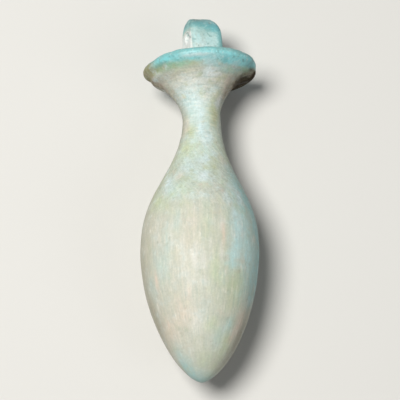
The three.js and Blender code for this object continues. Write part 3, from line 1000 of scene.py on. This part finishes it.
around, slanted, place = read("around", "Vector"), read("slanted", "Vector"), read("place", "Vector")
belly_w, slant_w, neck_w = read("w_belly"), read("w_slant"), read("w_neck")
worn_w, glaze_w = read("w_worn"), read("w_glaze")
long_streak = stretched(around, 3.0, 4, 0.65, 0.10)
dash = stretched(around, 3.4, 3, 0.6, 0.24, 4.1)
slant_streak = stretched(slanted, 2.6, 4, 0.65, 0.26)
ring_streak = stretched(around, 0.28, 4, 0.62, 11.0)
mottle = stretched(around, 1.1, 4, 0.6, 0.6)
speckle = stretched(place, 3.4, 4, 0.7, 1.0)
fleck = stretched(place, 1.5, 4, 0.65, 1.0, 7.7)
cloud = stretched(place, 0.62, 5, 0.62, 1.0, 2.3)
cloud_b = stretched(place, 0.75, 5, 0.62, 1.0, 9.1)

colour = lin(181, 185, 172)
LAYERS = [
    ("beige", (177, 173, 157), 0.9),
    ("ochre", (158, 157, 140), 0.85),
    ("mint", (172, 193, 187), 1.0),
    ("green", (176, 187, 156), 0.95),
    ("blue", (138, 186, 187), 0.95),
    ("sky", (186, 206, 209), 0.95),
    ("cream", (199, 199, 190), 0.9),
    ("pink", (202, 184, 167), 0.85),
    ("brown", (112, 97, 76), 0.95),
    ("turquoise", (130, 194, 193), 1.0),
    ("cyan", (132, 214, 219), 0.85),
    ("pale_blue", (167, 205, 206), 0.9),
    ("leaf", (138, 178, 152), 0.9),
    ("teal", (92, 142, 144), 0.9),
    ("deep", (88, 164, 172), 0.8),
    ("olive", (130, 125, 82), 0.95),
    ("umber", (45, 31, 16), 1.0),
    ("white", (212, 215, 213), 1.0),
    ("stain", (84, 108, 106), 0.75),
    ("pit", (128, 122, 104), 0.8),
]
for name, tone, most in LAYERS:
    # the edge of each patch is broken by the mottle
    mask = read(name)
    broken = maths("ADD", mask, maths("MULTIPLY", maths("ADD", signed(mottle, 0.8), signed(fleck, 1.3)), mask), clamp=True)
    colour = blend(maths("MULTIPLY", broken, most), colour, lin(*tone))

# clouds of paler blue, yellow green and pinkish tone where the glaze has weathered
colour = blend(maths("MULTIPLY", maths("MULTIPLY", above(cloud, 0.54, 0.68), worn_w), 0.62), colour, lin(190, 206, 206))
colour = blend(maths("MULTIPLY", maths("MULTIPLY", above(cloud, 0.47, 0.34), worn_w), 0.55), colour, lin(168, 174, 142))
colour = blend(maths("MULTIPLY", maths("MULTIPLY", above(cloud_b, 0.57, 0.70), worn_w), 0.50), colour, lin(184, 170, 154))
colour = blend(maths("MULTIPLY", maths("MULTIPLY", above(fleck, 0.60, 0.72), worn_w), 0.45), colour, lin(208, 212, 206))
colour = blend(maths("MULTIPLY", maths("MULTIPLY", above(fleck, 0.42, 0.30), worn_w), 0.45), colour, lin(132, 136, 112))
# on the kept glaze: darker flecks and pale rubs
colour = blend(maths("MULTIPLY", maths("MULTIPLY", above(fleck, 0.45, 0.33), glaze_w), 0.55), colour, lin(84, 140, 142))
colour = blend(maths("MULTIPLY", maths("MULTIPLY", above(fleck, 0.56, 0.70), glaze_w), 0.50), colour, lin(196, 218, 214))

# short pale strokes down the belly
rubbed = maths("MULTIPLY", maths("MULTIPLY", above(dash, 0.56, 0.70), above(cloud, 0.44, 0.60)), belly_w)
colour = blend(maths("MULTIPLY", rubbed, 0.38), colour, lin(212, 210, 200))

# wiping streaks: cooler and warmer, lighter and darker
warm = maths(
    "ADD",
    maths("MULTIPLY", maths("ADD", signed(long_streak, 1.0), signed(dash, 1.1)), belly_w),
    maths("MULTIPLY", signed(slant_streak, 2.2), slant_w),
)
warm = maths("ADD", warm, maths("MULTIPLY", signed(ring_streak, 2.5), neck_w))
colour = blend(
    maths("MULTIPLY", maths("MAXIMUM", warm, 0.0), 0.60, clamp=True), colour, lin(198, 189, 170)
)
colour = blend(
    maths("MULTIPLY", maths("MAXIMUM", maths("MULTIPLY", warm, -1.0), 0.0), 0.55, clamp=True),
    colour,
    lin(158, 184, 174),
)
light = maths("ADD", 1.0, maths("MULTIPLY", warm, 0.20))
light = maths("ADD", light, maths("MULTIPLY", signed(speckle, 0.62), worn_w))
light = maths("ADD", light, maths("MULTIPLY", signed(speckle, 0.30), glaze_w))
light = maths("ADD", light, signed(speckle, 0.12))
light = maths("ADD", light, signed(mottle, 0.20))
grey = node("ShaderNodeCombineColor")
for k in range(3):
    link(light, grey.inputs[k])
colour = blend(1.0, colour, grey.outputs[0], "MULTIPLY")
link(colour, bsdf.inputs["Base Color"])

# satin where the glaze is kept, dull where it is worn or pitted
rough = maths("ADD", 0.66, maths("MULTIPLY", read("turquoise"), -0.17))
rough = maths("ADD", rough, maths("MULTIPLY", read("pit"), 0.2))
rough = maths("ADD", rough, maths("MULTIPLY", read("umber"), 0.25))
rough = maths("ADD", rough, signed(mottle, 0.22), clamp=True)
link(rough, bsdf.inputs["Roughness"])
sheen = maths("ADD", 0.5, maths("MULTIPLY", read("umber"), -0.42), clamp=True)
link(sheen, bsdf.inputs["Specular IOR Level"])

height = maths(
    "ADD",
    maths("MULTIPLY", signed(long_streak, 0.016), belly_w),
    maths("MULTIPLY", signed(slant_streak, 0.026), slant_w),
)
height = maths("ADD", height, maths("MULTIPLY", signed(ring_streak, 0.032), neck_w))
height = maths("ADD", height, signed(speckle, 0.012))
bump = node("ShaderNodeBump")
bump.inputs["Strength"].default_value = 1.0
bump.inputs["Distance"].default_value = 0.001
link(height, bump.inputs["Height"])
link(bump.outputs["Normal"], bsdf.inputs["Normal"])

made.materials.clear()
made.materials.append(mat)

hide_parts(NODE)
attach(amulet, "root")

# ------------------------------------------------------------------ floor, light and camera
floor_mesh = bpy.data.meshes.new("floor")
floor_mesh.from_pydata(
    [(-1.2, -1.2, 0), (1.2, -1.2, 0), (1.2, 1.2, 0), (-1.2, 1.2, 0)], [], [(0, 1, 2, 3)]
)
floor = bpy.data.objects.new("floor", floor_mesh)
bpy.context.scene.collection.objects.link(floor)
floor_mat = bpy.data.materials.new("floor")
floor_mat.use_nodes = True
fb = floor_mat.node_tree.nodes["Principled BSDF"]
fb.inputs["Base Color"].default_value = lin(200, 199, 195)
fb.inputs["Roughness"].default_value = 0.9
floor_mesh.materials.append(floor_mat)

scene = bpy.context.scene
scene.view_settings.view_transform = "Standard"
world = bpy.data.worlds.new("studio")
scene.world = world
world.use_nodes = True
bg = world.node_tree.nodes["Background"]
bg.inputs["Color"].default_value = (0.95, 0.97, 1.0, 1)
bg.inputs["Strength"].default_value = 0.17

middle_of = Vector((0, 0, 0.008))


def soft_light(name, direction, distance, size, watts, colour=(1, 1, 1)):
    data = bpy.data.lights.new(name, "AREA")
    data.shape, data.size, data.energy, data.color = "DISK", size, watts, colour
    o = bpy.data.objects.new(name, data)
    d = Vector(direction).normalized()
    o.location = middle_of + d * distance
    o.rotation_mode = "QUATERNION"
    o.rotation_quaternion = d.to_track_quat("Z", "Y")
    scene.collection.objects.link(o)
    return o


soft_light("key", (-0.30, 0.04, 0.95), 0.42, 0.18, 2.35, (1.0, 0.985, 0.96))
soft_light("fill", (0.65, -0.35, 0.67), 0.55, 0.30, 0.30, (0.95, 0.98, 1.0))

cam_data = bpy.data.cameras.new("camera")
cam = bpy.data.objects.new("camera", cam_data)
scene.collection.objects.link(cam)
scene.camera = cam
VIEW_TILT = math.radians(15.75) - REST  # from straight above, towards the point of the bob
DISTANCE, WIDTH = 0.250, 400 * 0.0001374
look = Vector((0, math.sin(VIEW_TILT), -math.cos(VIEW_TILT)))
up = Vector((0, math.cos(VIEW_TILT), math.sin(VIEW_TILT)))
focus = Vector(lay([[0, 25.99476, 0.521816]])[0]) * 0.001
cam.location = focus - look * DISTANCE
aim = focus + Vector((0.00003, 0, 0)) - up * 0.000726
cam.rotation_mode = "QUATERNION"
cam.rotation_quaternion = (cam.location - aim).to_track_quat("Z", "Y")
cam_data.sensor_width = 36
cam_data.lens = 36 * DISTANCE / WIDTH
cam_data.clip_start, cam_data.clip_end = 0.01, 10
cam_data.dof.use_dof = False
